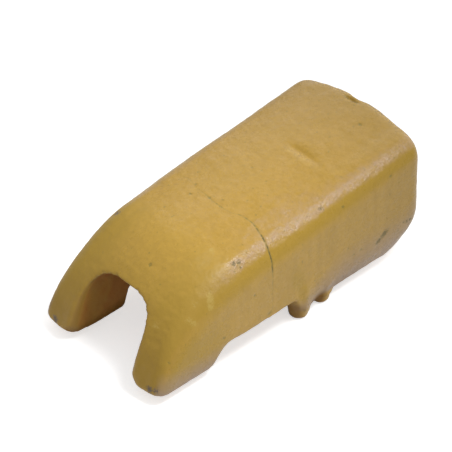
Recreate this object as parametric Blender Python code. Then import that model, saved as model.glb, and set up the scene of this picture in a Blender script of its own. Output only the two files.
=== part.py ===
"""A cast steel saddle for a bucket tooth adapter, painted yellow.

One solid casting: a hood that curves down at the front into two feet with an
arch between them, an open channel underneath, and two feeder lugs on each side.
"""

import math

import bmesh
import bpy

# All sizes are in metres. In the casting's own frame x starts at the front tip
# of the feet and z starts at the seat plane, on which the feet and rails rest.

# Outer form
length = 0.300
front_height = 0.0886
rear_height = 0.1042
front_width = 0.1372
rear_width = 0.1422
side_draft = math.radians(1.9)
crown_rise = 0.0063
face_crown = 0.0038
toe_corner_radius = 0.0101
nose_corner_radius = 0.0252
rear_corner_radius = 0.0103
corner_turn = math.radians(82)
corner_height_limit = 0.6
rear_bow = 0.0089
rear_edge_radius = 0.0119
tail_radius = 0.0416

# Nose: a leaning front face that a conic carries over into the top
toe_radius = 0.0043
face_lean = math.radians(15.4)
nose_length = 0.0879
nose_fullness = 0.82

# Lower outer edges
foot_edge_radius = 0.0051
rail_edge_radius = 0.0123

# Channel underneath, whose mouth flares into the front face
channel_width = 0.0640
channel_height = 0.0604
channel_squareness = 3.1
mouth_top_radius = 0.0042
mouth_side_radius = 0.0098
mouth_foot_radius = 0.0124
mouth_flare = 0.0012
mouth_depth = 0.035
mouth_turn = math.radians(80)
mouth_reach = 0.010

# Relief between the feet and the rear rails, deeper towards the channel
foot_length = 0.0543
foot_inner_length = 0.0584
relief_outer_height = 0.0173
relief_inner_height = 0.018
relief_outer_run = 0.0275
relief_inner_run = 0.0069
rail_start = 0.158
rail_run = 0.008

# Feeder lugs on the lower outer edges, each with a soft ridge up the side wall
lug_drop = 0.0073
lug_pitch = 0.0260
lug_root_z = 0.004
lug_tip_edge = 0.0016
lug_ridge_radius = 0.014
lug_ridge_stand_out = 0.0013
lug_ridge_sink = 0.0012
first_lug_place = 0.1615
first_lug_inset = 0.0087
first_lug_root_radius = 0.0096
first_lug_tip_radius = 0.0080
first_lug_ridge_top = 0.042
second_lug_inset = 0.0105
second_lug_root_radius = 0.0080
second_lug_tip_radius = 0.0076
second_lug_ridge_top = 0.020
lug_web_thickness = 0.006
lug_web_gap = 0.005
lug_web_root = 0.020

# Casting marks on the top: a nick near the rear edge, a dip of the edge behind it
# and a shallow dent
nick_from_rear = 0.011
nick_offset = 0.0103
nick_width = 0.014
nick_length = 0.0045
nick_depth = 0.0018
dip_behind_rear = 0.002
dip_offset = 0.0100
dip_width = 0.027
dip_length = 0.0245
dip_depth = 0.0116
dent_from_rear = 0.0865
dent_offset = -0.0136
dent_width = 0.048
dent_length = 0.009
dent_depth = 0.0010

# How finely curves are divided
toe_steps = 6
nose_steps = 16
top_steps = 12
tail_steps = 10
wall_steps = 4
corner_steps = 10
crown_steps = 4
edge_steps = 5
rear_face_shares = (0.75, 0.5, 0.25, 0.02)
channel_rows = 6
arch_steps = 28
mouth_steps = 7
relief_steps = 8
lug_tip_steps = 2
lug_sides = 20
groove_sides = 12
groove_rows = 10
groove_end = 0.25

# Room that cutters take beyond the casting, and the distance at which points are one
seat_clearance = 0.0002
overshoot = 0.030
merge_distance = 0.000001


def side_line(x):
    """Half the width at the seat plane."""
    return (front_width + (rear_width - front_width) * x / length) / 2


def wall_y(x, z):
    """Half the width at this height, apart from rounded edges."""
    return side_line(x) - math.tan(side_draft) * z


def top_line(x):
    return front_height + (rear_height - front_height) * (x - nose_length) / (length - nose_length)


def round_in(distance, radius):
    """How far a rounded edge falls in, this far from where its face ends."""
    reach = min(max(radius - distance, 0.0), radius)
    return radius - math.sqrt(radius * radius - reach * reach)


def ease(value):
    value = min(max(value, 0.0), 1.0)
    return value * value * (3 - 2 * value)


def front_outline():
    """The side view from the seat plane round the toe and over the nose."""
    points = []
    for step in range(toe_steps + 1):
        angle = (math.pi / 2 + face_lean) * step / toe_steps
        points.append((toe_radius * (1 - math.sin(angle)), toe_radius * (1 - math.cos(angle))))
    toe_x, toe_z = points[-1]
    end_x, end_z = nose_length, top_line(nose_length)
    slope = (rear_height - front_height) / (length - nose_length)
    lean = math.tan(face_lean)
    knee_x = (toe_x + lean * (end_z - slope * end_x - toe_z)) / (1 - lean * slope)
    knee_z = end_z + slope * (knee_x - end_x)
    for step in range(1, nose_steps + 1):
        t = step / nose_steps
        start, middle, end = (1 - t) ** 2, 2 * t * (1 - t) * nose_fullness, t * t
        total = start + middle + end
        points.append(
            (
                (start * toe_x + middle * knee_x + end * end_x) / total,
                (start * toe_z + middle * knee_z + end * end_z) / total,
            )
        )
    return points


def up_the_face(at_toe, at_top, z):
    """A measure of the front face that changes from the toe to the top of the nose."""
    return at_toe + (at_top - at_toe) * ease(z / front_height)


def top_corner_radius(x):
    """The corner between the top and the side wall, which tightens towards the rear."""
    share = (x - nose_length) / (length - nose_length)
    return nose_corner_radius + (rear_corner_radius - nose_corner_radius) * share


def lower_edge_radius(x):
    share = ease((x - rail_start + rail_run) / (2 * rail_run))
    return foot_edge_radius + (rail_edge_radius - foot_edge_radius) * share


def half_section(base, direction, reach, corner_radius, crown, inset=0.0):
    """The right half of one section of the body, from its foot to the crown.

    The section stands on base and points along direction in the side view, so
    that the sections can fan out round the nose.
    """
    edge = lower_edge_radius(base[0])
    top = reach - inset
    corner = min(corner_radius, corner_height_limit * (top - crown))
    wall_top = top - crown - corner
    heights = [edge * (1 - math.cos(math.pi / 2 * step / edge_steps)) for step in range(edge_steps)]
    heights += [edge + (wall_top - edge) * step / wall_steps for step in range(wall_steps + 1)]

    def wall(height):
        x = base[0] + direction[0] * height
        z = base[1] + direction[1] * height
        return wall_y(x, z) - round_in(z - base[1], edge) - inset

    points = [(wall(height), height) for height in heights]
    for step in range(1, corner_steps + 1):
        angle = corner_turn * step / corner_steps
        height = wall_top + corner * math.sin(angle)
        points.append((wall(height) - corner * (1 - math.cos(angle)), height))
    edge_y, edge_height = points[-1]
    for step in range(1, crown_steps + 1):
        y = edge_y * (1 - step / crown_steps)
        points.append((y, edge_height + (top - edge_height) * (1 - (y / edge_y) ** 2)))
    return points


def body_ring(base, direction, reach, corner_radius, crown, inset=0.0):
    half = half_section(base, direction, reach, corner_radius, crown, inset)
    both = half + [(-y, height) for y, height in reversed(half[:-1])]
    ring = []
    for y, height in both:
        x = base[0] + direction[0] * height
        z = base[1] + direction[1] * height
        ring.append((x - bow(x, y), y, z))
    return ring


def bow(x, y):
    """How far a section is set forward at its sides, growing towards the rear."""
    return rear_bow * (y / side_line(x)) ** 2 * (max(x, 0.0) / length) ** 4


def body_rings():
    """Sections fanning out round the nose, then standing upright to the rear."""
    pivot = (nose_length, 0.0)
    rings = []
    for x, z in front_outline():
        run, rise = x - pivot[0], z - pivot[1]
        reach = math.hypot(run, rise)
        corner = up_the_face(toe_corner_radius, nose_corner_radius, z)
        crown = up_the_face(face_crown, crown_rise, z)
        rings.append(body_ring(pivot, (run / reach, rise / reach), reach, corner, crown))
    straight_end = length - tail_radius
    places = [nose_length + (straight_end - nose_length) * step / top_steps for step in range(1, top_steps + 1)]
    for step in range(1, tail_steps + 1):
        places.append(straight_end + tail_radius * math.sin(math.pi / 2 * step / tail_steps))
    for x in places:
        lift = round_in(length - x, tail_radius)
        inset = round_in(length - x, rear_edge_radius)
        reach = top_line(x) - lift
        rings.append(body_ring((x, lift), (0.0, 1.0), reach, top_corner_radius(x), crown_rise, inset))
    rings += rear_face(rings[-1])
    return rings


def rear_face(rim):
    """Rings that close the bowed rear face towards its middle."""
    middle_z = (min(point[2] for point in rim) + max(point[2] for point in rim)) / 2
    rings = []
    for share in rear_face_shares:
        ring = []
        for _, y, z in rim:
            ring_y = y * share
            ring.append((length - bow(length, ring_y), ring_y, middle_z + (z - middle_z) * share))
        rings.append(ring)
    return rings


def front_face_x(z):
    """Where the front face lies at this height, in the side view."""
    outline = front_outline()
    if z <= outline[0][1]:
        return outline[0][0]
    for (x_low, z_low), (x_high, z_high) in zip(outline, outline[1:]):
        if z <= z_high:
            return x_low + (x_high - x_low) * (z - z_low) / (z_high - z_low)
    return outline[-1][0]


def channel_section():
    """Points of the channel's section with their outward directions."""
    half = channel_width / 2
    spring = channel_height - half
    power = 2 / channel_squareness
    section = []
    low = -overshoot
    for row in range(channel_rows):
        z = low + (spring - low) * row / channel_rows
        section.append((half, z, 1.0, 0.0))
    for step in range(arch_steps + 1):
        angle = math.pi * step / arch_steps
        cos, sin = math.cos(angle), math.sin(angle)
        y = half * math.copysign(abs(cos) ** power, cos)
        z = spring + half * abs(sin) ** power
        section.append((y, z, cos, sin))
    section += [(-y, z, -out_y, out_z) for y, z, out_y, out_z in reversed(section[:channel_rows])]
    return section


def mouth_radius(z):
    """The rim of the arch: tight at its crown, widest half way down, and tighter at the feet."""
    down = min(max(1 - z / channel_height, 0.0), 1.0)
    at_crown = mouth_top_radius * (1 - down) * (1 - 2 * down)
    at_side = mouth_side_radius * 4 * down * (1 - down)
    at_foot = mouth_foot_radius * down * (2 * down - 1)
    return at_crown + at_side + at_foot


def channel_rings():
    """The channel as a cutter, from well behind the rear face to its mouth.

    Near the front every line of it swings outward along an arc that ends
    almost in the front face, which gives the arch and the feet a round rim.
    """
    section = channel_section()
    rings = []
    behind = [(length + overshoot, y, z) for y, z, _, _ in section]
    rings.append(behind)
    stages = [("flare", 0.0), ("flare", 0.5)]
    stages += [("arc", mouth_turn * step / mouth_steps) for step in range(mouth_steps + 1)]
    stages.append(("open", mouth_turn))
    for kind, value in stages:
        ring = []
        for y, z, out_y, out_z in section:
            face = front_face_x(z)
            side = out_y * out_y
            radius = mouth_radius(z)
            if kind == "flare":
                depth = mouth_depth + (radius - mouth_depth) * value
                push = mouth_flare * value * side
            elif kind == "arc":
                depth = radius * (1 - math.sin(value))
                push = mouth_flare * side + radius * (1 - math.cos(value))
            else:
                depth = radius * (1 - math.sin(value)) - mouth_reach
                push = mouth_flare * side + radius * (1 - math.cos(value)) + mouth_reach * math.tan(value)
            ring.append((face + depth, y + push * out_y, z + push * out_z))
        rings.append(ring)
    return rings


def relief_section(start, height, run):
    """The relief in the side view: up behind the foot, along, and down to the rail."""
    points = [(start, -overshoot)]
    for step in range(relief_steps + 1):
        share = step / relief_steps
        points.append((start + run * share, height * ease(share) - seat_clearance * (1 - share)))
    for step in range(relief_steps // 2 + 1):
        share = 2 * step / relief_steps
        points.append((rail_start + rail_run * (share - 1), height * ease(1 - share) - seat_clearance * share))
    points.append((rail_start, -overshoot))
    return points


def relief_rings():
    inner = channel_width / 2
    outer = max(front_width, rear_width) / 2
    inner_section = relief_section(foot_inner_length, relief_inner_height, relief_inner_run)
    outer_section = relief_section(foot_length, relief_outer_height, relief_outer_run)
    beyond = [
        (far_x + (far_x - near_x), far_z + (far_z - near_z))
        for (near_x, near_z), (far_x, far_z) in zip(inner_section, outer_section)
    ]
    reach = outer + (outer - inner)
    return [
        [(x, -reach, z) for x, z in beyond],
        [(x, -inner, z) for x, z in inner_section],
        [(x, inner, z) for x, z in inner_section],
        [(x, reach, z) for x, z in beyond],
    ]


def lug_axis_y(x, inset):
    return side_line(x) - inset


def lug_rings(side, x, inset, root_radius, tip_radius, ridge_top):
    """A tapered lug with a rounded tip, which sinks into the side wall further up.

    Each stage gives a height, a radius and where the middle of the ring lies.
    """
    axis = lug_axis_y(x, inset)
    stages = []
    for step in range(lug_tip_steps + 1):
        angle = math.pi / 2 * step / lug_tip_steps
        z = -lug_drop + lug_tip_edge * (1 - math.cos(angle))
        stages.append((z, tip_radius - lug_tip_edge * (1 - math.sin(angle)), axis))
    stages.append((lug_root_z, root_radius, axis))
    for share, proud in ((0.5, lug_ridge_stand_out), (1.0, -lug_ridge_sink)):
        z = lug_root_z + (ridge_top - lug_root_z) * share
        stages.append((z, lug_ridge_radius, wall_y(x, z) + proud - lug_ridge_radius))
    rings = []
    for z, radius, middle in stages:
        ring = []
        for step in range(lug_sides):
            angle = 2 * math.pi * step / lug_sides
            ring.append((x + radius * math.cos(angle), side * (middle + radius * math.sin(angle)), z))
        rings.append(ring)
    return rings


def first_lug_rings(side):
    return lug_rings(
        side, first_lug_place, first_lug_inset, first_lug_root_radius, first_lug_tip_radius, first_lug_ridge_top
    )


def second_lug_rings(side):
    place = first_lug_place + lug_pitch
    return lug_rings(
        side, place, second_lug_inset, second_lug_root_radius, second_lug_tip_radius, second_lug_ridge_top
    )


def web_rings(side):
    """The thin web that joins the two lugs of one side."""
    rings = []
    for x, inset in ((first_lug_place, first_lug_inset), (first_lug_place + lug_pitch, second_lug_inset)):
        middle = lug_axis_y(x, inset)
        inner, outer = middle - lug_web_thickness / 2, middle + lug_web_thickness / 2
        low, high = lug_web_gap - lug_drop, lug_web_root
        rings.append([(x, side * y, z) for y, z in ((inner, low), (outer, low), (outer, high), (inner, high))])
    return rings


def groove_rings(x, y, width, run, depth):
    """A shallow groove across the top, deepest in its middle.

    The cutter's rings are ellipses that reach as far above the surface as they
    need to leave it open, and its two ends are small flat faces.
    """
    rings = []
    for row in range(groove_rows + 1):
        share = math.cos(math.pi * (row + groove_end) / (groove_rows + 2 * groove_end))
        narrowing = math.sqrt(1 - share * share)
        ring_y = y + width / 2 * share
        surface = top_line(x) - crown_rise * (ring_y / side_line(x)) ** 2
        ring = []
        for step in range(groove_sides):
            angle = 2 * math.pi * step / groove_sides
            ring_x = x + run / 2 * narrowing * math.cos(angle)
            ring.append((ring_x, ring_y, surface + depth * narrowing * (2 * math.sin(angle) + 1)))
        rings.append(ring)
    return rings


def nick_rings():
    return groove_rings(length - nick_from_rear, nick_offset, nick_width, nick_length, nick_depth)


def dip_rings():
    return groove_rings(length + dip_behind_rear, dip_offset, dip_width, dip_length, dip_depth)


def dent_rings():
    return groove_rings(length - dent_from_rear, dent_offset, dent_width, dent_length, dent_depth)


def fill_loft(mesh, rings):
    """Skins closed rings one after the other and caps both ends."""
    loops = [[mesh.verts.new(point) for point in ring] for ring in rings]
    for near, far in zip(loops, loops[1:]):
        for index in range(len(near)):
            following = (index + 1) % len(near)
            mesh.faces.new((near[index], near[following], far[following], far[index]))
    mesh.faces.new(list(reversed(loops[0])))
    mesh.faces.new(loops[-1])


def loft(name, rings):
    """An object skinned over the rings, with coincident points merged."""
    mesh = bmesh.new()
    fill_loft(mesh, rings)
    bmesh.ops.remove_doubles(mesh, verts=mesh.verts, dist=merge_distance)
    bmesh.ops.dissolve_degenerate(mesh, edges=mesh.edges, dist=merge_distance)
    bmesh.ops.recalc_face_normals(mesh, faces=mesh.faces)
    data = bpy.data.meshes.new(name)
    mesh.to_mesh(data)
    mesh.free()
    made = bpy.data.objects.new(name, data)
    bpy.context.scene.collection.objects.link(made)
    return made


def combine(target, tool, operation):
    """Cuts the tool from the target or joins it on, and hides the tool."""
    tool.hide_render = True
    tool.display_type = "WIRE"
    step = target.modifiers.new(tool.name, "BOOLEAN")
    step.operation = operation
    step.solver = "EXACT"
    step.object = tool


def yellow_paint():
    paint = bpy.data.materials.new("yellow_paint")
    paint.use_nodes = True
    shader = paint.node_tree.nodes["Principled BSDF"]
    shader.inputs["Base Color"].default_value = (0.50, 0.31, 0.07, 1.0)
    shader.inputs["Roughness"].default_value = 0.42
    shader.inputs["Metallic"].default_value = 0.0
    return paint


def stand_on_origin(casting):
    """Moves the casting and its cutters so that the casting stands centred on the origin."""
    bpy.context.view_layer.update()
    corners = casting.evaluated_get(bpy.context.evaluated_depsgraph_get()).bound_box
    low = [min(corner[axis] for corner in corners) for axis in range(3)]
    high = [max(corner[axis] for corner in corners) for axis in range(3)]
    for item in bpy.data.objects:
        item.location = (-(low[0] + high[0]) / 2, -(low[1] + high[1]) / 2, -low[2])


def clear_scene():
    for existing in list(bpy.data.objects):
        bpy.data.objects.remove(existing)


def build_casting():
    casting = loft("adapter_casting", body_rings())
    combine(casting, loft("channel_cutter", channel_rings()), "DIFFERENCE")
    combine(casting, loft("relief_cutter", relief_rings()), "DIFFERENCE")
    for side_name, side in (("near", -1), ("far", 1)):
        combine(casting, loft(f"{side_name}_web", web_rings(side)), "UNION")
        combine(casting, loft(f"{side_name}_first_lug", first_lug_rings(side)), "UNION")
        combine(casting, loft(f"{side_name}_second_lug", second_lug_rings(side)), "UNION")
    combine(casting, loft("nick_cutter", nick_rings()), "DIFFERENCE")
    combine(casting, loft("dip_cutter", dip_rings()), "DIFFERENCE")
    combine(casting, loft("dent_cutter", dent_rings()), "DIFFERENCE")
    casting.data.materials.append(yellow_paint())
    stand_on_origin(casting)


clear_scene()
build_casting()
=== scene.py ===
import math

import bpy
import numpy as np
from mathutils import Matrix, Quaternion, Vector


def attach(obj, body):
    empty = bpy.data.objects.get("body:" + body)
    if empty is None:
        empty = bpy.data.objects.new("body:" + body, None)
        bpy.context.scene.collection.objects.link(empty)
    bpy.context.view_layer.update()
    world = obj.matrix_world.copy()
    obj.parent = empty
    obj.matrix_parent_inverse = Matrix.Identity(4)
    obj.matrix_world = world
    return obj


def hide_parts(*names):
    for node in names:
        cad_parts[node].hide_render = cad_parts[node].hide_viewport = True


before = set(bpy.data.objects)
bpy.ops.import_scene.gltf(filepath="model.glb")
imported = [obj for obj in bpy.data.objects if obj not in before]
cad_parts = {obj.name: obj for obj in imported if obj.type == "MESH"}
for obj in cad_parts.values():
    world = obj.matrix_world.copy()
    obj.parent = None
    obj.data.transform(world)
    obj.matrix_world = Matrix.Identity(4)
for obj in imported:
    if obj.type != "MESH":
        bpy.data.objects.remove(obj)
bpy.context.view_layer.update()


def deselectAll():
    if bpy.context.object and bpy.context.object.mode != "OBJECT":
        bpy.ops.object.mode_set(mode="OBJECT")
    bpy.ops.object.select_all(action="DESELECT")


def makeActive(piece):
    deselectAll()
    piece.select_set(True)
    bpy.context.view_layer.objects.active = piece


def readPoints(piece):
    points = np.empty(len(piece.data.vertices) * 3)
    piece.data.vertices.foreach_get("co", points)
    return points.reshape(-1, 3)


def readNormals(piece):
    normals = np.empty(len(piece.data.vertices) * 3)
    piece.data.vertex_normals.foreach_get("vector", normals)
    return normals.reshape(-1, 3)


def movePoints(piece, points):
    piece.data.vertices.foreach_set("co", points.ravel())
    piece.data.update()


def applyModifier(piece, kind, **settings):
    modifier = piece.modifiers.new(kind.lower(), kind)
    for name, value in settings.items():
        setattr(modifier, name, value)
    bpy.ops.object.modifier_apply(modifier=modifier.name)


def ramp(values, start, end):
    # 0 up to the start, 1 from the end on, and even in between. A falling pair fades the other way.
    return np.clip((values - start) / (end - start), 0, 1)


skinSizes = {
    "voxel": 0.0015,  # quads of the skin
    "smoothRounds": 6,
    "lumpSize": 0.034,  # slow unevenness of the sand mould
    "lumpDepth": 0.0008,
    "pitSize": 0.0075,
    "pitDepth": 0.00045,
    "grainSize": 0.0034,
    "grainDepth": 0.00022,
    "markReach": 0.0035,  # how far round a mark the skin is divided finer
    "markCuts": 2,
}


def copyCasting():
    makeActive(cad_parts["adapter_casting"])
    bpy.ops.object.duplicate()
    skin = bpy.context.active_object
    skin.name = "casting_skin"
    skin.data.name = "casting_skin"
    bpy.ops.object.mode_set(mode="EDIT")
    bpy.ops.mesh.select_all(action="SELECT")
    bpy.ops.mesh.remove_doubles(threshold=1e-5)
    bpy.ops.object.mode_set(mode="OBJECT")
    return skin


def roughen(piece, layer):
    clouds = bpy.data.textures.new(f"casting_{layer}", "CLOUDS")
    clouds.noise_scale = skinSizes[f"{layer}Size"]
    clouds.noise_depth = 2
    depth = skinSizes[f"{layer}Depth"]
    applyModifier(piece, "DISPLACE", texture=clouds, texture_coords="LOCAL", strength=depth, mid_level=0.5)


lowerRoll = {
    # the solid's round lower edge becomes a longer, flatter roll on the skin
    "rearEnd": 0.14883,
    "seat": 0.0073,  # height of the lower edge
    "startsAt": 0.012,
    "run": 0.030,  # length over which the roll fades in
    "growth": 0.1,  # length over which its rise and inset grow
    "tailRadius": 0.0416,  # of the climb round the tail
    "edgeRadius": 0.0123,  # of the solid's own edge
    "leastHeight": 0.0005,
    "rise": (0.028, 0.036),  # at its start and at the rear
    "inset": (0.0080, 0.0082),
    "wall": 0.0705,
    "band": 0.014,  # how far in from the wall points still move
}


def quarterRound(height, rise, inset):
    # how far a roll of this rise and inset falls in at a height above its base
    share = np.clip(1 - height / rise, 0, 1)
    return inset * (1 - np.sqrt(1 - share**2))


def heightAboveEdge(points):
    # above the lower edge, which climbs round the tail
    x, z = points[:, 0], points[:, 2]
    fromRear = np.maximum(lowerRoll["rearEnd"] - x, 0)
    lift = quarterRound(fromRear, lowerRoll["tailRadius"], lowerRoll["tailRadius"])
    return z - lowerRoll["seat"] - lift


def rollLowerEdges(piece):
    points = readPoints(piece)
    x, y, z = points.T
    start = lowerRoll["startsAt"]
    height = np.maximum(heightAboveEdge(points), lowerRoll["leastHeight"])
    rearward = ramp(x, start, start + lowerRoll["growth"])
    rise, inset = (low + rearward * (high - low) for low, high in (lowerRoll["rise"], lowerRoll["inset"]))
    change = quarterRound(height, rise, inset)
    change -= quarterRound(height, lowerRoll["edgeRadius"], lowerRoll["edgeRadius"])
    change *= ramp(x, start, start + lowerRoll["run"])
    change *= ramp(np.abs(y), lowerRoll["wall"] - lowerRoll["band"], lowerRoll["wall"])
    points[:, 1] -= np.sign(y) * change * (z > lowerRoll["seat"])
    movePoints(piece, points)


rearCorners = {
    # the long upper corners get rounder towards the rear
    "startsAt": 0.020,
    "run": 0.090,
    "lift": (0.0036, 0.0006),  # near side, far side
    "liftedAbove": 0.075,
    "crest": 0.052,
    "crestWidth": 0.013,
    "smoothedSide": (0.042, 0.052),  # distance from the middle over which the smoothing fades in
    "smoothedHeight": (0.070, 0.082),
    "levels": 10,  # steps of its strength
    "rounds": 36,
}


def softenRearCorners(piece):
    points = readPoints(piece)
    x, y, z = points.T
    rearward = ramp(x, rearCorners["startsAt"], rearCorners["startsAt"] + rearCorners["run"])
    crest = np.exp(-(((np.abs(y) - rearCorners["crest"]) / rearCorners["crestWidth"]) ** 2))
    share = rearward * ramp(np.abs(y), *rearCorners["smoothedSide"]) * ramp(z, *rearCorners["smoothedHeight"])
    lift = np.where(y < 0, *rearCorners["lift"]) * (z > rearCorners["liftedAbove"])
    points[:, 2] += lift * rearward * crest
    movePoints(piece, points)
    group = piece.vertex_groups.new(name="rearCorners")
    levels = rearCorners["levels"]
    steps = np.rint(share * levels)
    for level in range(1, levels + 1):
        group.add(np.flatnonzero(steps == level).tolist(), level / levels, "REPLACE")
    applyModifier(piece, "SMOOTH", factor=0.5, iterations=rearCorners["rounds"], vertex_group="rearCorners")
    piece.vertex_groups.clear()


nudges = [
    # place, reach along each axis, move at the place
    ((0.1372, 0.0103, 0.110), (0.0014, 0.0070, 0.010), (0, 0, -0.0016)),  # nick in the rear edge
    ((0.0618, -0.0080, 0.104), (0.0052, 0.0150, 0.010), (0, 0, -0.0012)),  # shallow dent
    ((0.0560, -0.0100, 0.104), (0.0045, 0.0180, 0.010), (0, 0, 0.0004)),  # its raised front lip
    ((0.0630, -0.0340, 0.103), (0.0060, 0.0090, 0.010), (0, 0, 0.0005)),  # its shallower near end
    ((0.0050, 0.0620, 0.090), (0.0450, 0.0250, 0.030), (0, 0.0005, 0.0014)),  # far shoulder, a little prouder
    ((-0.0480, -0.0660, 0.026), (0.0240, 0.0150, 0.011), (0, 0, -0.0014)),  # near lower edge, a little lower
    ((0.1440, -0.0560, 0.036), (0.0180, 0.0220, 0.020), (0.0012, -0.0008, 0)),  # near rear corner
    ((0.0460, -0.0640, 0.008), (0.0060, 0.0100, 0.006), (0.0022, 0, -0.0004)),  # rear side of the second lug
    ((0.0190, -0.0660, 0.010), (0.0070, 0.0130, 0.0055), (0, 0, -0.0030)),  # web between the near lugs
]


def nudge(piece):
    points = readPoints(piece)
    for place, reach, move in nudges:
        distance = np.sum(((points - np.array(place)) / np.array(reach)) ** 2, axis=1)
        points += np.exp(-distance)[:, None] * np.array(move)
    movePoints(piece, points)


grooves = {
    # a hairline from the far corner over the top and down the near wall, with its strength at each point
    "routes": [[
        ((-0.0188, 0.0568, 0.0904), 0.30),
        ((-0.0194, 0.0352, 0.0959), 0.18),
        ((-0.0236, 0.0226, 0.0973), 0.12),
        ((-0.0256, 0.0062, 0.0985), 0.32),
        ((-0.0266, 0.0016, 0.0985), 0.42),
        ((-0.0267, -0.0047, 0.0984), 0.55),
        ((-0.0264, -0.0113, 0.0982), 0.22),
        ((-0.0252, -0.0180, 0.0977), 0.12),
        ((-0.0218, -0.0229, 0.0975), 0.28),
        ((-0.0201, -0.0290, 0.0967), 0.42),
        ((-0.0195, -0.0350, 0.0955), 0.40),
        ((-0.0199, -0.0400, 0.0944), 0.60),
        ((-0.0212, -0.0452, 0.0931), 0.55),
        ((-0.0221, -0.0490, 0.0920), 0.95),
        ((-0.0243, -0.0574, 0.0884), 0.80),
        ((-0.0261, -0.0639, 0.0814), 0.90),
        ((-0.0269, -0.0668, 0.0747), 1.00),
        ((-0.0270, -0.0677, 0.0672), 0.32),
        ((-0.0269, -0.0682, 0.0514), 0.15),
        ((-0.0266, -0.0690, 0.0277), 0.12),
    ], [
        # painted shade: the dark bottom of the nick at the rear
        ((0.1374, 0.0175, 0.1092), 0.1),
        ((0.1374, 0.0140, 0.1088), 0.30),
        ((0.1372, 0.0100, 0.1087), 0.40),
        ((0.1370, 0.0060, 0.1088), 0.45),
        ((0.1368, 0.0030, 0.1095), 0.1),
    ]],
    "width": 0.0014,
    "depth": 0.00035,
}


def nearRoute(points):
    # distance of each point to the nearest groove, and the groove's strength there
    best = np.full(len(points), np.inf)
    strength = np.zeros(len(points))
    spans = [span for route in grooves["routes"] for span in zip(route, route[1:])]
    for (start, startStrength), (end, endStrength) in spans:
        start, end = np.array(start), np.array(end)
        step = end - start
        share = np.clip((points - start) @ step / (step @ step), 0, 1)
        distance = np.linalg.norm(points - start - share[:, None] * step, axis=1)
        nearer = distance < best
        best[nearer] = distance[nearer]
        strength[nearer] = (startStrength + share * (endStrength - startStrength))[nearer]
    return best, strength


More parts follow.
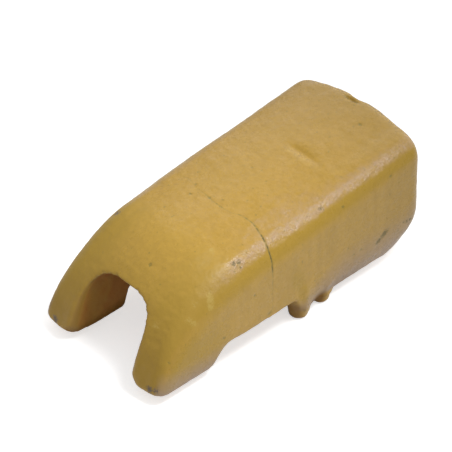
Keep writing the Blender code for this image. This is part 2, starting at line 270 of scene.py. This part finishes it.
chips = {
    # place, radius along the surface, strength
    # worn spots on the tips of the feet, and one on the far shoulder
    "steel": [
        ((-0.1475, 0.0526, 0.0138), 0.0026, 1.0),
        ((-0.1470, -0.0575, 0.0136), 0.0026, 1.0),
        ((-0.1451, -0.0628, 0.0150), 0.0022, 0.7),
        ((-0.0786, 0.0557, 0.0821), 0.0024, 0.9),
    ],
    # chips down to the casting
    "bare": [
        ((-0.0567, -0.0542, 0.0868), 0.0018, 0.9),
        ((-0.0523, -0.0554, 0.0866), 0.0018, 0.9),
        ((-0.0531, -0.0585, 0.0842), 0.0013, 0.7),
        ((0.0331, -0.0586, 0.0940), 0.0020, 0.9),
        ((0.0911, -0.0698, 0.0340), 0.0021, 1.0),
        ((0.0930, -0.0698, 0.0352), 0.0018, 1.0),
        ((0.0952, -0.0698, 0.0368), 0.0018, 0.9),
        ((0.0972, -0.0698, 0.0380), 0.0020, 0.9),
        ((0.0992, -0.0697, 0.0392), 0.0022, 1.1),
        ((0.1205, -0.0698, 0.0385), 0.0014, 0.7),
        ((0.1240, -0.0698, 0.0376), 0.0018, 0.7),
        ((0.1280, -0.0699, 0.0372), 0.0015, 0.8),
        ((0.0010, 0.0600, 0.0903), 0.0018, 0.7),
        ((0.0116, -0.0705, 0.0210), 0.0016, 0.6),
        ((0.0085, -0.0704, 0.0106), 0.0016, 0.6),
    ],
    # pinholes and specks that show olive through the paint, and painted shade in the nick at the rear edge
    # (the first four)
    "olive": [
        ((0.1366, 0.0160, 0.1100), 0.0014, 0.9),
        ((0.1366, 0.0122, 0.1100), 0.0014, 1.0),
        ((0.1366, 0.0085, 0.1100), 0.0014, 1.0),
        ((0.1366, 0.0048, 0.1100), 0.0014, 0.9),
        ((-0.0084, 0.0375, 0.0960), 0.0012, 0.8),
        ((-0.0318, 0.0211, 0.0968), 0.0012, 0.9),
        ((-0.0256, 0.0062, 0.0985), 0.0012, 0.9),
        ((-0.1017, -0.0083, 0.0825), 0.0013, 1.0),
        ((-0.1208, -0.0667, 0.0411), 0.0011, 0.7),
        ((-0.1322, -0.0633, 0.0365), 0.0011, 0.7),
        ((-0.0793, -0.0684, 0.0325), 0.0016, 0.8),
        ((-0.1251, -0.0680, 0.0302), 0.0010, 0.5),
        ((0.0563, -0.0691, 0.0461), 0.0011, 0.6),
        ((0.0635, -0.0695, 0.0359), 0.0012, 0.7),
        ((0.0714, -0.0695, 0.0366), 0.0012, 0.8),
        ((0.0815, -0.0701, 0.0240), 0.0014, 0.8),
        ((0.1023, -0.0697, 0.0402), 0.0011, 0.7),
        ((0.1143, -0.0700, 0.0325), 0.0013, 0.8),
        ((-0.0300, -0.0690, 0.0290), 0.0020, 0.8),
        ((0.0517, -0.0652, 0.0898), 0.0013, 0.9),
        ((0.1192, -0.0167, 0.1087), 0.0014, 1.0),
        ((0.1040, -0.0670, 0.0938), 0.0013, 0.9),
        ((0.0780, -0.0463, 0.1016), 0.0010, 0.5),
        ((0.0623, -0.0694, 0.0365), 0.0011, 0.6),
        ((-0.0460, -0.0678, 0.0571), 0.0012, 0.8),
        ((-0.0204, -0.0038, 0.0989), 0.0010, 0.6),
        ((0.0227, 0.0084, 0.1020), 0.0010, 0.7),
        ((0.0256, -0.0001, 0.1024), 0.0010, 0.6),
        ((0.0185, -0.0028, 0.1018), 0.0011, 0.5),
        ((0.0190, -0.0114, 0.1016), 0.0010, 0.7),
        ((-0.0204, 0.0272, 0.0969), 0.0011, 0.7),
    ],
    # painted highlight on the dent's front lip (the first four), and pale scuffed patches on the nose and the
    # near foot
    "scuffAndHighlight": [
        ((0.0578, 0.0020, 0.1046), 0.0018, 0.45),
        ((0.0576, -0.0060, 0.1044), 0.0020, 0.55),
        ((0.0574, -0.0140, 0.1040), 0.0020, 0.55),
        ((0.0576, -0.0220, 0.1036), 0.0018, 0.45),
        ((-0.0868, -0.0600, 0.0760), 0.0026, 0.8),
        ((-0.0881, -0.0613, 0.0731), 0.0024, 1.0),
        ((-0.0894, -0.0639, 0.0685), 0.0026, 0.9),
        ((-0.1061, -0.0629, 0.0605), 0.0022, 0.8),
        ((-0.1084, -0.0598, 0.0629), 0.0022, 0.7),
        ((-0.0632, -0.0356, 0.0917), 0.0022, 0.7),
        ((-0.1256, -0.0414, 0.0559), 0.0028, 0.6),
        ((-0.0990, -0.0560, 0.0720), 0.0024, 0.5),
    ],
    # painted shade on the web between the near lugs
    "webShade": [((0.0260, -0.0665, 0.0072), 0.0062, 1.0)],
    # painted reflection: a saturated ochre stripe above the front lug, standing for a darker reflection there
    "paintedReflection": [
        ((-0.0010, -0.0684, 0.0560), 0.0045, 0.8),
        ((0.0006, -0.0684, 0.0480), 0.0060, 1.0),
        ((0.0030, -0.0690, 0.0400), 0.0060, 1.0),
        ((0.0060, -0.0694, 0.0310), 0.0055, 1.0),
        ((0.0075, -0.0698, 0.0230), 0.0045, 0.8),
    ],
    "sunk": ("bare", "steel", "olive"),  # the kinds that lie below the paint
    "depth": 0.00018,
    "sunkFrom": 0.3,  # closeness at which the sinking begins
    "steepness": 3,
}


def nearSpots(points, kind):
    # 1 in the middle of a spot, 0.5 at its rim, 0 at twice its radius
    closeness = np.zeros(len(points))
    for place, radius, strength in chips[kind]:
        distance = np.linalg.norm(points - np.array(place), axis=1)
        closeness = np.maximum(closeness, strength * np.clip(1 - distance / (2 * radius), 0, 1))
    return closeness


def divideFiner(piece):
    points = readPoints(piece)
    distance, strength = nearRoute(points)
    marked = (distance < skinSizes["markReach"]) & (strength > 0)
    for kind in chips["sunk"]:
        marked |= nearSpots(points, kind) > 0
    makeActive(piece)
    bpy.ops.object.mode_set(mode="EDIT")
    bpy.ops.mesh.select_all(action="DESELECT")
    bpy.ops.object.mode_set(mode="OBJECT")
    chosen = [all(marked[corner] for corner in face.vertices) for face in piece.data.polygons]
    piece.data.polygons.foreach_set("select", chosen)
    bpy.ops.object.mode_set(mode="EDIT")
    bpy.ops.mesh.select_mode(type="FACE")
    bpy.ops.mesh.subdivide(number_cuts=skinSizes["markCuts"])
    bpy.ops.object.mode_set(mode="OBJECT")
    print("skin divided finer round the marks, faces", len(piece.data.polygons))


def storeValues(piece, name, values):
    layer = piece.data.attributes.new(name, "FLOAT", "POINT")
    layer.data.foreach_set("value", values.astype(np.float32))


def cutMarks(piece):
    points = readPoints(piece)
    normals = readNormals(piece)
    distance, strength = nearRoute(points)
    hairlineAndNickShade = strength * np.exp(-((distance / (grooves["width"] / 2)) ** 2))
    storeValues(piece, "hairlineAndNickShade", hairlineAndNickShade)
    spots = {kind: nearSpots(points, kind) for kind in (*chips["sunk"], "paintedReflection", "scuffAndHighlight")}
    for kind, closeness in spots.items():
        storeValues(piece, kind, closeness)
    closest = np.max([spots[kind] for kind in chips["sunk"]], axis=0)
    sink = grooves["depth"] * hairlineAndNickShade
    sink += chips["depth"] * np.clip((closest - chips["sunkFrom"]) * chips["steepness"], 0, 1)
    movePoints(piece, points - normals * sink[:, None])


# In the zones a pair is where one begins and where it is full, in metres for x, y and z.
# facesRear, facesOut and facesUp go from -1 to 1, and tilts are degrees from straight up.
zones = {
    # painted shade: brown on the walls of the channel, and weaker on every underside
    "inside": {
        "halfWidth": 0.033,
        "wider": 0.006,  # added at the mouth
        "mouth": (-0.125, -0.145),
        "fade": 0.002,  # to each side of the wall
        "z": (0.0735, 0.0695),
        "facesOut": (0.35, 0.05),
        "notFront": (-0.3, 0.0),
        "notRear": (0.5, 0.2),
        "under": (-0.3, -0.7),
        "underShare": 0.5,
    },
    # painted shade on the fronts of the lugs
    "lugs": {
        "facing": (0.05, -0.80),  # facesRear and a part of facesUp
        "up": 0.5,  # that part
        "z": (0.021, 0.015),
        "beyond": 0.050,  # from the middle
        "x": (-0.01, 0.07),  # from and to
        "share": 0.85,
    },
    # painted shade on steep faces turned to the front
    "steepFront": {"facesRear": (-0.62, -0.87), "share": 0.22},
    # painted shade on the inner rim of the front arch, where it turns into the channel
    "archRim": {
        "notFront": (-0.90, -0.55),
        "facesOut": (-0.25, -0.55),
        "before": -0.09,
        "z": (0.078, 0.066),
        "facesRear": (-0.03, -0.28),
        "mouth": (-0.100, -0.130),
        "mouthShare": 0.65,
        "share": 0.62,
    },
    # painted shade along the lower edges inside the channel, and low on the far foot
    "lowInside": {"z": (0.020, 0.010), "facesOut": (-0.1, -0.4), "within": 0.045, "share": 0.95},
    "farFoot": {"facesRear": (-0.45, -0.70), "z": (0.050, 0.025), "share": 0.32},
    "spotGain": 2,  # of the painted shade spot on the web
    # the matt band on the corners of the nose, which also gets painted shade that dims the lamp's highlight
    # there
    "matt": {"tilt": (8, 18), "tiltEnd": (64, 52), "x": (-0.056, -0.074)},
    # the band of painted highlight on the long upper corners, which fades out on the nose and thins towards
    # the rear
    "corner": {
        "z": (0.05, 0.07),
        "noseTilt": 12,  # on the nose the band lies this much further out on the side
        "nose": (-0.035, -0.075),
        "tilt": 12,  # where the band begins
        "earlier": 5,  # behind the nose it begins this much further in
        "behindNose": (-0.030, 0.010),
        "tiltRun": 12,
        "tiltEnd": (48, 34),
        "x": (-0.094, -0.068),
        "thins": (0.085, 0.125),
        "thinsBy": 0.30,
        "farShare": 0.3,
    },
    # painted shade and painted dull reflection: a deeper yellow below the painted highlight, on the front,
    # the far nose and the outer sides of the feet
    "shoulder": {
        "tilt": (36, 46),
        "tiltEnd": (80, 66),
        "frontFacesRear": (-0.5, -0.8),
        "frontShare": 0.8,
        "farNoseY": (0.025, 0.050),
        "farNoseX": (-0.050, -0.090),
        "farNoseShare": 0.9,
        "footX": (-0.060, -0.100),
        "footZ": (0.070, 0.040),
        "footShare": 1.2,
    },
    # the side walls, which get painted reflection as a paler, bluer tone, and the streaks
    "wall": {"facesSide": (0.75, 0.95)},
    # painted light: the top of the nose a little lighter
    "nose": {"x": (-0.045, -0.075), "facesUp": (0.45, 0.75)},
    # painted shade: darker towards the rear
    "tail": {"x": (0.06, 0.14)},
    # dust and painted reflection of the floor on the roll of both lower edges and on the outer edges of the
    # feet, but not on the lugs
    "dustAndSheen": {
        "feetBefore": -0.06,
        "feetBand": 0.020,  # height of the dusty band
        "band": 0.012,
        "bandGrowth": 0.028,
        "grows": (0, 0.05),
        "fade": (1.1, 0.1),  # of the band's height
        "rearShare": 0.8,
        "facesOut": (0.05, 0.40),
        "sideways": (0.2, 0.6),
        "lugsZ": (0.013, 0.009),
        "lugsX": (-0.01, 0.06),  # from and to
    },
}


def facesOut(points, normals):
    # 1 where the surface looks straight away from the middle plane, -1 where it looks into the channel
    return normals[:, 1] * np.sign(points[:, 1])


def between(values, limits):
    return (values > limits[0]) & (values < limits[1])


# painted shade in the channel and under the casting
def insideZone(points, normals):
    x, y, z = points.T
    facesRear, facesUp = normals[:, 0], normals[:, 2]
    zone = zones["inside"]
    halfWidth = zone["halfWidth"] + zone["wider"] * ramp(x, *zone["mouth"])
    inside = ramp(np.abs(y), halfWidth + zone["fade"], halfWidth - zone["fade"]) * ramp(z, *zone["z"])
    inside *= ramp(facesOut(points, normals), *zone["facesOut"])
    inside *= ramp(facesRear, *zone["notFront"]) * ramp(facesRear, *zone["notRear"])
    return np.maximum(inside, zone["underShare"] * ramp(facesUp, *zone["under"]))


def lugShade(points, normals):
    x, y, z = points.T
    facesRear, facesUp = normals[:, 0], normals[:, 2]
    zone = zones["lugs"]
    paintedShade = ramp(facesRear + zone["up"] * facesUp, *zone["facing"]) * ramp(z, *zone["z"])
    return zone["share"] * paintedShade * ((np.abs(y) > zone["beyond"]) & between(x, zone["x"]))


def archRimShade(points, normals):
    x, z = points[:, 0], points[:, 2]
    facesRear = normals[:, 0]
    zone = zones["archRim"]
    paintedShade = ramp(facesRear, *zone["notFront"]) * ramp(facesOut(points, normals), *zone["facesOut"])
    paintedShade *= (x < zone["before"]) * ramp(z, *zone["z"])
    paintedShade *= np.maximum(ramp(facesRear, *zone["facesRear"]), zone["mouthShare"] * ramp(x, *zone["mouth"]))
    return zone["share"] * paintedShade


# painted shade: the strongest of the lug fronts, the arch rim, the web, steep fronts and low edges
def paintedShadeZone(points, normals):
    y, z = points[:, 1], points[:, 2]
    facesRear = normals[:, 0]
    front, low, foot = zones["steepFront"], zones["lowInside"], zones["farFoot"]
    lowInside = ramp(z, *low["z"]) * ramp(facesOut(points, normals), *low["facesOut"])
    return np.max([
        lugShade(points, normals),
        archRimShade(points, normals),
        np.minimum(zones["spotGain"] * nearSpots(points, "webShade"), 1),
        front["share"] * ramp(facesRear, *front["facesRear"]),
        low["share"] * lowInside * (np.abs(y) < low["within"]),
        foot["share"] * ramp(facesRear, *foot["facesRear"]) * (y > 0) * ramp(z, *foot["z"]),
    ], axis=0)


def cornerBands(points, normals):
    # the matt band, the band of painted highlight, and the band of painted shade and dull reflection along
    # the long upper corners
    x, y, z = points.T
    facesRear, facesSide, facesUp = normals.T
    tilt = np.degrees(np.arctan2(facesOut(points, normals), facesUp))
    zone = zones["matt"]
    matt = ramp(tilt, *zone["tilt"]) * ramp(tilt, *zone["tiltEnd"]) * ramp(x, *zone["x"])

    zone = zones["corner"]
    high = ramp(z, *zone["z"])
    tilt -= zone["noseTilt"] * ramp(x, *zone["nose"])
    start = zone["tilt"] - zone["earlier"] * ramp(x, *zone["behindNose"])
    corner = ramp(tilt, start, start + zone["tiltRun"]) * ramp(tilt, *zone["tiltEnd"]) * high
    corner *= ramp(x, *zone["x"]) * (1 - zone["thinsBy"] * ramp(x, *zone["thins"]))
    corner *= np.where(y < 0, 1, zone["farShare"])

    zone = zones["shoulder"]
    wall = ramp(np.abs(facesSide), *zones["wall"]["facesSide"])
    shoulder = np.max([
        ramp(tilt, *zone["tilt"]) * ramp(tilt, *zone["tiltEnd"]) * high,
        zone["frontShare"] * ramp(facesRear, *zone["frontFacesRear"]),
        zone["farNoseShare"] * ramp(y, *zone["farNoseY"]) * ramp(x, *zone["farNoseX"]),
        zone["footShare"] * wall * ramp(x, *zone["footX"]) * ramp(z, *zone["footZ"]),
    ], axis=0)
    return {"matt": matt, "corner": corner, "shoulder": shoulder, "wall": wall}


def dustAndSheenZone(points, normals):
    x, z = points[:, 0], points[:, 2]
    zone = zones["dustAndSheen"]
    outward = facesOut(points, normals)
    band = zone["band"] + zone["bandGrowth"] * ramp(x, *zone["grows"])
    band = np.where(x < zone["feetBefore"], zone["feetBand"], band)
    sideways = np.hypot(outward, zone["rearShare"] * np.clip(normals[:, 0], 0, 1))
    sideways *= ramp(outward, *zone["facesOut"])
    dustAndSheen = ramp(heightAboveEdge(points) / band, *zone["fade"]) * ramp(sideways, *zone["sideways"])
    return dustAndSheen * (1 - ramp(z, *zone["lugsZ"]) * between(x, zone["lugsX"]))


def markZones(piece):
    points = readPoints(piece)
    normals = readNormals(piece)
    x, facesUp = points[:, 0], normals[:, 2]
    values = {
        "inside": insideZone(points, normals),
        "paintedShade": paintedShadeZone(points, normals),
        **cornerBands(points, normals),
        "nose": ramp(x, *zones["nose"]["x"]) * ramp(facesUp, *zones["nose"]["facesUp"]),
        "tail": ramp(x, *zones["tail"]["x"]),
        "dustAndSheen": dustAndSheenZone(points, normals),
    }
    for name, zoneValues in values.items():
        storeValues(piece, name, zoneValues)


def castingSkin():
    skin = copyCasting()
    applyModifier(skin, "REMESH", mode="VOXEL", voxel_size=skinSizes["voxel"])
    applyModifier(skin, "SMOOTH", factor=0.5, iterations=skinSizes["smoothRounds"])
    print("skin remeshed, faces", len(skin.data.polygons))
    rollLowerEdges(skin)
    softenRearCorners(skin)
    print("edges rolled, corners softened")
    for layer in ("lump", "pit", "grain"):
        roughen(skin, layer)
    print("skin roughened")
    divideFiner(skin)
    nudge(skin)
    cutMarks(skin)
    markZones(skin)
    makeActive(skin)
    bpy.ops.object.shade_smooth()
    print("marks cut")
    return skin


# linear colours
paintTones = {
    "paint": (0.500, 0.302, 0.052),
    "ochre": (0.475, 0.285, 0.040),
    "tan": (0.515, 0.315, 0.070),
    # painted light, for the top of the nose
    "nose": (0.505, 0.310, 0.050),
    # painted reflection: the side walls paler and bluer
    "wall": (0.525, 0.330, 0.071),
    # painted shade, for the rear
    "tail": (0.300, 0.190, 0.060),
    # painted highlight, pale and pinkish
    "paintedHighlight": (0.495, 0.318, 0.155),
    # painted shade and painted dull reflection, a deeper yellow
    "shoulder": (0.430, 0.268, 0.027),
    # dust and painted reflection of the floor, pinkish grey
    "dustAndSheen": (0.375, 0.268, 0.192),
    # the same, paler at the rear
    "tailDustAndSheen": (0.440, 0.330, 0.250),
    # painted shade, a dark brown
    "paintedShade": (0.210, 0.097, 0.006),
    # pale scuffs, and painted highlight on the dent's front lip
    "scuffAndHighlight": (0.580, 0.420, 0.110),
    # painted shade, the brown of the channel and the undersides
    "inside": (0.425, 0.165, 0.030),
    # painted reflection, a saturated ochre
    "paintedReflection": (0.430, 0.270, 0.020),
    "olive": (0.230, 0.180, 0.040),
    "faintLine": (0.320, 0.225, 0.045),
    # the hairline, and painted shade in the nick
    "darkLine": (0.055, 0.042, 0.016),
    "bare": (0.140, 0.122, 0.044),
    "steel": (0.105, 0.085, 0.085),
}

paintPatterns = {
    # size of the spots, then detail, roughness, shift and stretch of the noise
    # span: the noise values that are spread out, and what they become (0 to 1 if it isn't said)
    "drift": {"size": 0.050, "detail": 3, "span": (0.35, 0.65)},
    "patches": {"size": 0.012, "detail": 3, "rough": 0.6, "shift": (0.3, 0, 0), "span": (0.48, 0.70)},
    "mottling": {"size": 0.0042, "span": (0.30, 0.70, 0.95, 1.05)},
    "streaks": {"size": 0.006, "detail": 3, "stretch": (1, 1, 0.10), "span": (0.35, 0.65, 0.98, 1.06)},
    "pinholes": {"size": 0.0036, "detail": 1, "rough": 0.4, "shift": (0, 0.7, 0), "span": (0.72, 0.79)},
    # grains of the painted highlight
    "paintedHighlight": {
        "size": 0.0052,
        "detail": 4,
        "rough": 0.75,
        "shift": (0.5, 0, 0.2),
        "span": (0.38, 0.60, 0.30, 1.15),
    },
    "worn": {"size": 0.0024, "rough": 0.6, "shift": (0, 0, 0.4), "span": (0.56, 0.70)},
    "dustAndSheen": {"size": 0.010, "detail": 3, "span": (0.3, 0.6, 0.75, 1.0)},
    "ragged": {"size": 0.0016, "detail": 3, "rough": 0.7, "span": (0.30, 0.70, -0.45, 0.45)},
    "line": {"size": 0.0022, "span": (0.38, 0.58, 0.30, 1.0)},
    "roughness": {
        "size": 0.007,
        "detail": 3,
        "rough": 0.6,
        "shift": (0.9, 0, 0),
        "span": (0.3, 0.7, 0.24, 0.32),
    },
    "peel": {"size": 0.0052},
    "grain": {"size": 0.0028, "detail": 3, "rough": 0.65, "shift": (0, 0.2, 0)},
}

paintShares = {
    # how much of each tone is laid on
    "patches": 0.7,
    "wall": 0.6,
    "tail": 0.22,
    "pinholes": 0.5,
    "shoulder": 0.65,
    "matt": 0.55,
    "worn": 0.35,
}

paintMarks = {
    # how much each kind of mark covers, in the order in which they are laid on
    "cover": {"paintedReflection": 0.5, "scuffAndHighlight": 0.6, "olive": 0.72, "bare": 0.74, "steel": 0.8},
    "edge": (0.30, 0.70),  # of a spot, once its closeness is made ragged
    "reach": (0.05, 0.25),  # closeness below which nothing shows
    "faintLine": (0.02, 0.32),
    "darkLine": (0.30, 0.90),
    "dullLine": (0.05, 0.5),
}

paintFinish = {
    "specular": 0.42,
    "rougher": {"corner": 0.01, "matt": 0.20, "paintedShade": 0.30, "inside": 0.45},
    "dull": 0.25,  # added on bare spots and the hairline
    "peelDepth": 0.00060,
    "peelStrength": 0.50,
    "grainDepth": 0.00090,
    "grainStrength": 0.25,
    "cornerGrain": 0.70,  # added on the rubbed corners
}


class Shade:
    # short names for the nodes of one material
    def __init__(self, name):
        self.material = bpy.data.materials.new(name)
        self.material.use_nodes = True
        self.tree = self.material.node_tree
        self.shader = self.tree.nodes["Principled BSDF"]
        self.place = self.tree.nodes.new("ShaderNodeTexCoord").outputs["Object"]

    def link(self, source, target):
        self.tree.links.new(source, target)

    def noise(self, size, detail=2.0, rough=0.5, stretch=(1, 1, 1), shift=(0, 0, 0)):
        mapping = self.tree.nodes.new("ShaderNodeMapping")
        mapping.inputs["Scale"].default_value = stretch
        mapping.inputs["Location"].default_value = shift
        self.link(self.place, mapping.inputs["Vector"])
        texture = self.tree.nodes.new("ShaderNodeTexNoise")
        texture.inputs["Scale"].default_value = 1 / size
        texture.inputs["Detail"].default_value = detail
        texture.inputs["Roughness"].default_value = rough
        self.link(mapping.outputs["Vector"], texture.inputs["Vector"])
        return texture.outputs["Fac"]

    def span(self, value, low, high, newLow=0.0, newHigh=1.0):
        node = self.tree.nodes.new("ShaderNodeMapRange")
        node.inputs["From Min"].default_value = low
        node.inputs["From Max"].default_value = high
        node.inputs["To Min"].default_value = newLow
        node.inputs["To Max"].default_value = newHigh
        self.link(value, node.inputs["Value"])
        return node.outputs["Result"]

    def pattern(self, name):
        settings = dict(paintPatterns[name])
        span = settings.pop("span", None)
        noise = self.noise(**settings)
        return self.span(noise, *span) if span else noise

    def math(self, operation, first, second):
        node = self.tree.nodes.new("ShaderNodeMath")
        node.operation = operation
        for socket, value in zip(node.inputs, (first, second)):
            if isinstance(value, (int, float)):
                socket.default_value = value
            else:
                self.link(value, socket)
        return node.outputs["Value"]

    def mix(self, share, first, second, blend="MIX"):
        node = self.tree.nodes.new("ShaderNodeMix")
        node.data_type = "RGBA"
        node.blend_type = blend
        for name, value in (("Factor", share), ("A", first), ("B", second)):
            socket = [s for s in node.inputs if s.name == name and s.enabled][0]
            if isinstance(value, (int, float)):
                socket.default_value = value
            elif isinstance(value, tuple):
                socket.default_value = (*value, 1)
            else:
                self.link(value, socket)
        return [s for s in node.outputs if s.enabled][0]

    def cover(self, colour, tone, where, share=None):
        # lays one of the paint's tones over a colour
        if share:
            where = self.math("MULTIPLY", where, share)
        return self.mix(where, colour, paintTones[tone])

    def stored(self, name):
        node = self.tree.nodes.new("ShaderNodeAttribute")
        node.attribute_name = name
        return node.outputs["Fac"]

    def bump(self, height, distance, strength, under=None):
        node = self.tree.nodes.new("ShaderNodeBump")
        node.inputs["Distance"].default_value = distance
        if isinstance(strength, float):
            node.inputs["Strength"].default_value = strength
        else:
            self.link(strength, node.inputs["Strength"])
        self.link(height, node.inputs["Height"])
        if under:
            self.link(under, node.inputs["Normal"])
        return node.outputs["Normal"]


def markedColour(shade, colour):
    # the spots with ragged edges, among them painted reflection, highlight and shade, the hairline with
    # painted shade in the nick, and where the paint is bare and dull
    ragged = shade.pattern("ragged")
    spots = {}
    for mark, cover in paintMarks["cover"].items():
        spot = shade.span(shade.math("ADD", shade.stored(mark), ragged), *paintMarks["edge"])
        near = shade.span(shade.stored(mark), *paintMarks["reach"])
        spots[mark] = shade.math("MULTIPLY", spot, near)
        colour = shade.cover(colour, mark, spots[mark], cover)
    line = shade.math("MULTIPLY", shade.stored("hairlineAndNickShade"), shade.pattern("line"))
    colour = shade.cover(colour, "faintLine", shade.span(line, *paintMarks["faintLine"]))
    colour = shade.cover(colour, "darkLine", shade.span(line, *paintMarks["darkLine"]))
    return colour, shade.math("MAXIMUM", spots["bare"], shade.span(line, *paintMarks["dullLine"]))


def paintMaterial():
    shade = Shade("yellow_paint_dressed")
    shade.shader.inputs["Specular IOR Level"].default_value = paintFinish["specular"]
    # slow drift of tone, then patches, then fine mottling, and streaks on the walls
    colour = shade.mix(shade.pattern("drift"), paintTones["ochre"], paintTones["paint"])
    colour = shade.cover(colour, "tan", shade.pattern("patches"), paintShares["patches"])
    # painted light: the top of the nose a little lighter
    colour = shade.cover(colour, "nose", shade.stored("nose"))
    colour = shade.mix(1.0, colour, shade.pattern("mottling"), "MULTIPLY")
    # painted reflection: the side walls paler and bluer
    colour = shade.cover(colour, "wall", shade.stored("wall"), paintShares["wall"])
    streaked = shade.mix(1.0, colour, shade.pattern("streaks"), "MULTIPLY")
    colour = shade.mix(shade.stored("wall"), colour, streaked)
    # painted shade: darker towards the rear
    colour = shade.cover(colour, "tail", shade.stored("tail"), paintShares["tail"])
    # faint olive pinholes all over
    colour = shade.cover(colour, "olive", shade.pattern("pinholes"), paintShares["pinholes"])
    # painted highlight: a pale, grainy band along the long upper corners
    paintedHighlight = shade.math("MULTIPLY", shade.stored("corner"), shade.pattern("paintedHighlight"))
    colour = shade.cover(colour, "paintedHighlight", paintedHighlight)
    # painted shade and painted dull reflection below the highlight band, on the fronts, the far nose and the
    # feet
    colour = shade.cover(colour, "shoulder", shade.stored("shoulder"), paintShares["shoulder"])
    # painted shade on the nose corners, which dims the lamp's highlight there
    colour = shade.cover(colour, "shoulder", shade.stored("matt"), paintShares["matt"])
    # more olive specks along the upper corners
    worn = shade.math("MULTIPLY", shade.pattern("worn"), shade.stored("corner"))
    colour = shade.cover(colour, "olive", worn, paintShares["worn"])
    # dust and painted reflection of the floor along the lower edges
    dustAndSheen = shade.math("MULTIPLY", shade.stored("dustAndSheen"), shade.pattern("dustAndSheen"))
    dustAndSheenTone = shade.cover(paintTones["dustAndSheen"], "tailDustAndSheen", shade.stored("tail"))
    colour = shade.mix(dustAndSheen, colour, dustAndSheenTone)
    # painted shade: brown in the channel and under the casting
    colour = shade.cover(colour, "inside", shade.stored("inside"))
    # painted shade on the lug fronts, the arch rim, the web between the lugs, steep fronts and low inner
    # edges
    colour = shade.cover(colour, "paintedShade", shade.stored("paintedShade"))
    colour, dull = markedColour(shade, colour)
    shade.link(colour, shade.shader.inputs["Base Color"])

    roughness = shade.pattern("roughness")
    for zone, added in paintFinish["rougher"].items():
        roughness = shade.math("ADD", roughness, shade.math("MULTIPLY", shade.stored(zone), added))
    roughness = shade.math("ADD", roughness, shade.math("MULTIPLY", dull, paintFinish["dull"]))
    shade.link(roughness, shade.shader.inputs["Roughness"])

    relief = shade.bump(shade.pattern("peel"), paintFinish["peelDepth"], paintFinish["peelStrength"])
    grain = shade.math("MULTIPLY", shade.stored("corner"), paintFinish["cornerGrain"])
    grain = shade.math("ADD", paintFinish["grainStrength"], grain)
    relief = shade.bump(shade.pattern("grain"), paintFinish["grainDepth"], grain, relief)
    shade.link(relief, shade.shader.inputs["Normal"])
    return shade.material


lamps = {
    # direction from its aim, distance, size, watts, width of the beam in degrees
    "key": {
        "towards": (0.30, -0.35, 0.88),
        "distance": 0.95,
        "size": (0.30, 0.28),
        "power": 0.39,
        "beam": 45,
        "aim": (-0.12, 0, 0.06),
    },
    "panel": {
        "towards": (0.79, 0.32, 0.53),
        "distance": 1.5,
        "size": (1.9, 1.4),
        "power": 7.0,
        "beam": 180,
        "aim": (0, 0, 0.06),
    },
}

studio = {
    "world": 0.50,
    "floor": 0.80,
    "floorSize": 6,
    "floorRoughness": 0.9,
    "seenGlow": 0.60,  # lifts the paper to white where it is seen directly
    "glossGlow": 0.17,  # and a little in the gloss
}


def floorMaterial():
    shade = Shade("floor_paper")
    shade.shader.inputs["Base Color"].default_value = (studio["floor"],) * 3 + (1,)
    shade.shader.inputs["Roughness"].default_value = studio["floorRoughness"]
    shade.shader.inputs["Specular IOR Level"].default_value = 0.0
    rays = shade.tree.nodes.new("ShaderNodeLightPath").outputs
    reflected = shade.math("MAXIMUM", rays["Is Glossy Ray"], rays["Is Transmission Ray"])
    glow = shade.math("MULTIPLY", reflected, studio["glossGlow"])
    glow = shade.math("ADD", glow, shade.math("MULTIPLY", rays["Is Camera Ray"], studio["seenGlow"]))
    shade.shader.inputs["Emission Color"].default_value = (1, 1, 1, 1)
    shade.link(glow, shade.shader.inputs["Emission Strength"])
    return shade.material


def addFloor():
    deselectAll()
    bpy.ops.mesh.primitive_plane_add(size=studio["floorSize"])
    floor = bpy.context.active_object
    floor.name = "floor"
    floor.data.materials.append(floorMaterial())


def addLamp(name):
    lamp = lamps[name]
    aim = Vector(lamp["aim"])
    place = aim + Vector(lamp["towards"]).normalized() * lamp["distance"]
    bpy.ops.object.light_add(type="AREA", location=place)
    light = bpy.context.active_object
    light.name = name
    light.data.shape = "RECTANGLE"
    light.data.size, light.data.size_y = lamp["size"]
    light.data.energy = lamp["power"]
    light.data.spread = math.radians(lamp["beam"])
    light.rotation_euler = (aim - place).to_track_quat("-Z", "Y").to_euler()


def lightTheStage():
    addFloor()
    for name in lamps:
        addLamp(name)
    world = bpy.context.scene.world or bpy.data.worlds.new("studio")
    bpy.context.scene.world = world
    world.use_nodes = True
    background = world.node_tree.nodes["Background"].inputs
    background["Color"].default_value = (1, 1, 1, 1)
    background["Strength"].default_value = studio["world"]
    print("lamps and floor placed")


photoView = {
    "turn": 44.75,  # degrees
    "elevation": 40.29,
    "roll": -1.59,
    "distance": 2.126,
    "aim": (-0.00117, 0.0, 0.0473),
    "frame": 452,  # pixels of the photograph's side
    "focal": 2659.5,  # pixels
    "rightShift": 10.06,
    "downShift": 11.77,
    "reach": 20,  # how far the camera sees
}


def addCamera():
    turn, elevation, roll = (math.radians(photoView[name]) for name in ("turn", "elevation", "roll"))
    pose = Quaternion((0, 0, 1), -turn) @ Quaternion((1, 0, 0), math.pi / 2 - elevation)
    pose = pose @ Quaternion((0, 0, 1), -roll)
    back = pose @ Vector((0, 0, 1))
    bpy.ops.object.camera_add(location=Vector(photoView["aim"]) + photoView["distance"] * back)
    camera = bpy.context.active_object
    camera.rotation_mode = "QUATERNION"
    camera.rotation_quaternion = pose
    camera.data.lens = photoView["focal"] * camera.data.sensor_width / photoView["frame"]
    camera.data.shift_x = -photoView["rightShift"] / photoView["frame"]
    camera.data.shift_y = photoView["downShift"] / photoView["frame"]
    camera.data.clip_end = photoView["reach"]
    bpy.context.scene.camera = camera
    print("camera placed")


skin = castingSkin()
skin.data.materials.clear()
skin.data.materials.append(paintMaterial())
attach(skin, "root")
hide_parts("adapter_casting")
print("paint on, faces", len(skin.data.polygons))

bpy.context.scene.view_settings.view_transform = "Standard"
lightTheStage()
addCamera()
